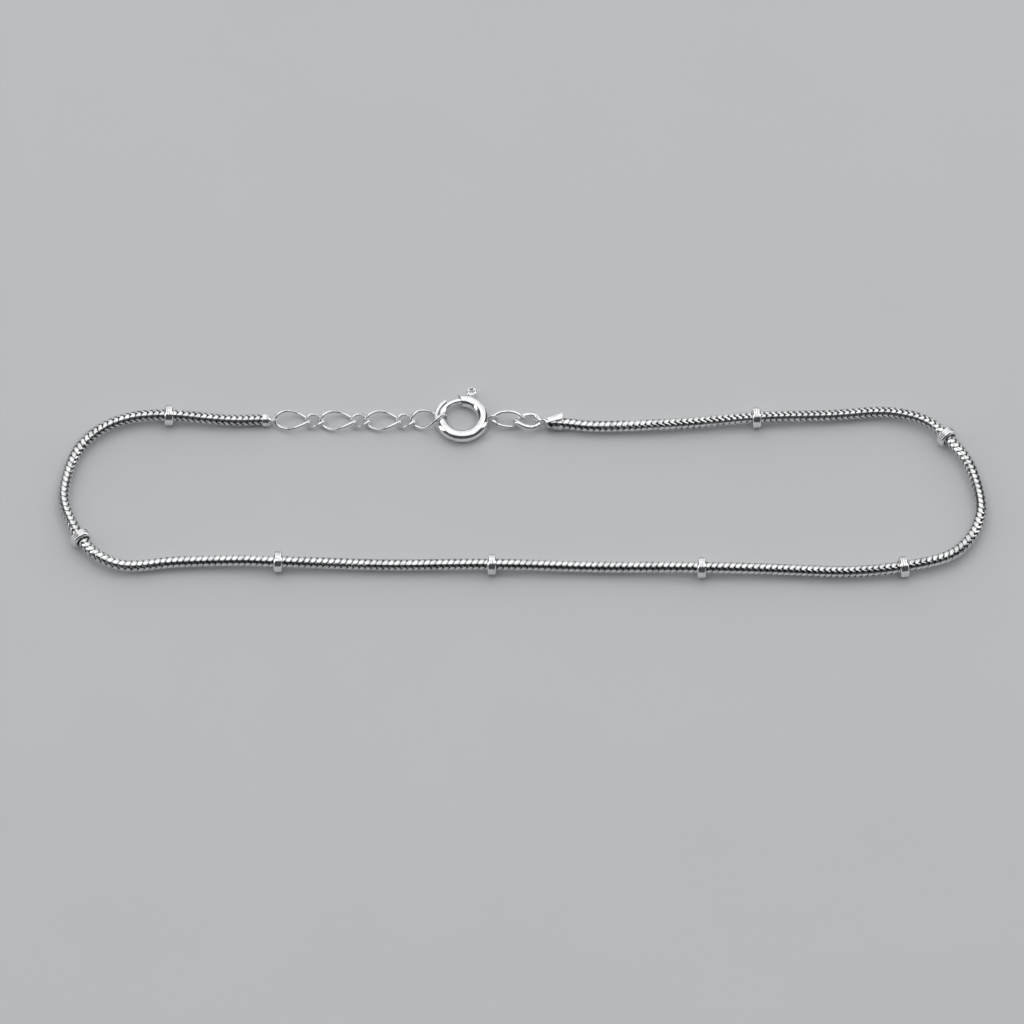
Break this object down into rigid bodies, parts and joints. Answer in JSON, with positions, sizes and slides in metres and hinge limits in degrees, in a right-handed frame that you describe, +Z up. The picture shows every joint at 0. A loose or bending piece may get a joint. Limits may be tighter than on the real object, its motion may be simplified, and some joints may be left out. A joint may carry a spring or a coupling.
{
  "type": "snake chain bracelet",
  "caption": "Silver snake chain bracelet lying closed in a long loop, with grooved stopper beads, a twisted link extension and a spring ring clasp.",
  "frame": {"origin": "bottom centre of the bounding box, on the surface that the bracelet lies on", "axes": "+X along the loop's long side, to the right as seen from the front; +Y to the back, where the clasp is; +Z up"},
  "size_m": [0.0964, 0.0236, 0.0023],
  "materials": {
    "chain": "polished silver",
    "beads": "polished silver",
    "links": "polished silver",
    "fittings": "polished silver"
  },
  "bodies": {
    "bracelet": {"snake_chain": "chain", "bead_1": "beads", "bead_2": "beads", "bead_3": "beads", "bead_4": "beads", "bead_5": "beads", "bead_6": "beads", "bead_7": "beads", "bead_8": "beads", "end_cap": "fittings", "long_link_1": "links", "long_link_2": "links", "long_link_3": "links", "long_link_4": "links", "short_link_1": "links", "short_link_2": "links", "short_link_3": "links", "clasp_body": "fittings", "clasp_link": "links", "crimp_link": "links", "crimp_end": "fittings"},
    "trigger": {"clasp_trigger": "fittings"}
  },
  "joints": [
    {"name": "trigger_slide", "type": "hinge", "parent": "bracelet", "child": "trigger", "pos_m": [-0.00632, 0.008, 0.00082], "axis": [0, 0, 1], "range_deg": [-50, 0], "stiffness_Nm_per_rad": 0.001, "springref_deg": 28.65}
  ]
}
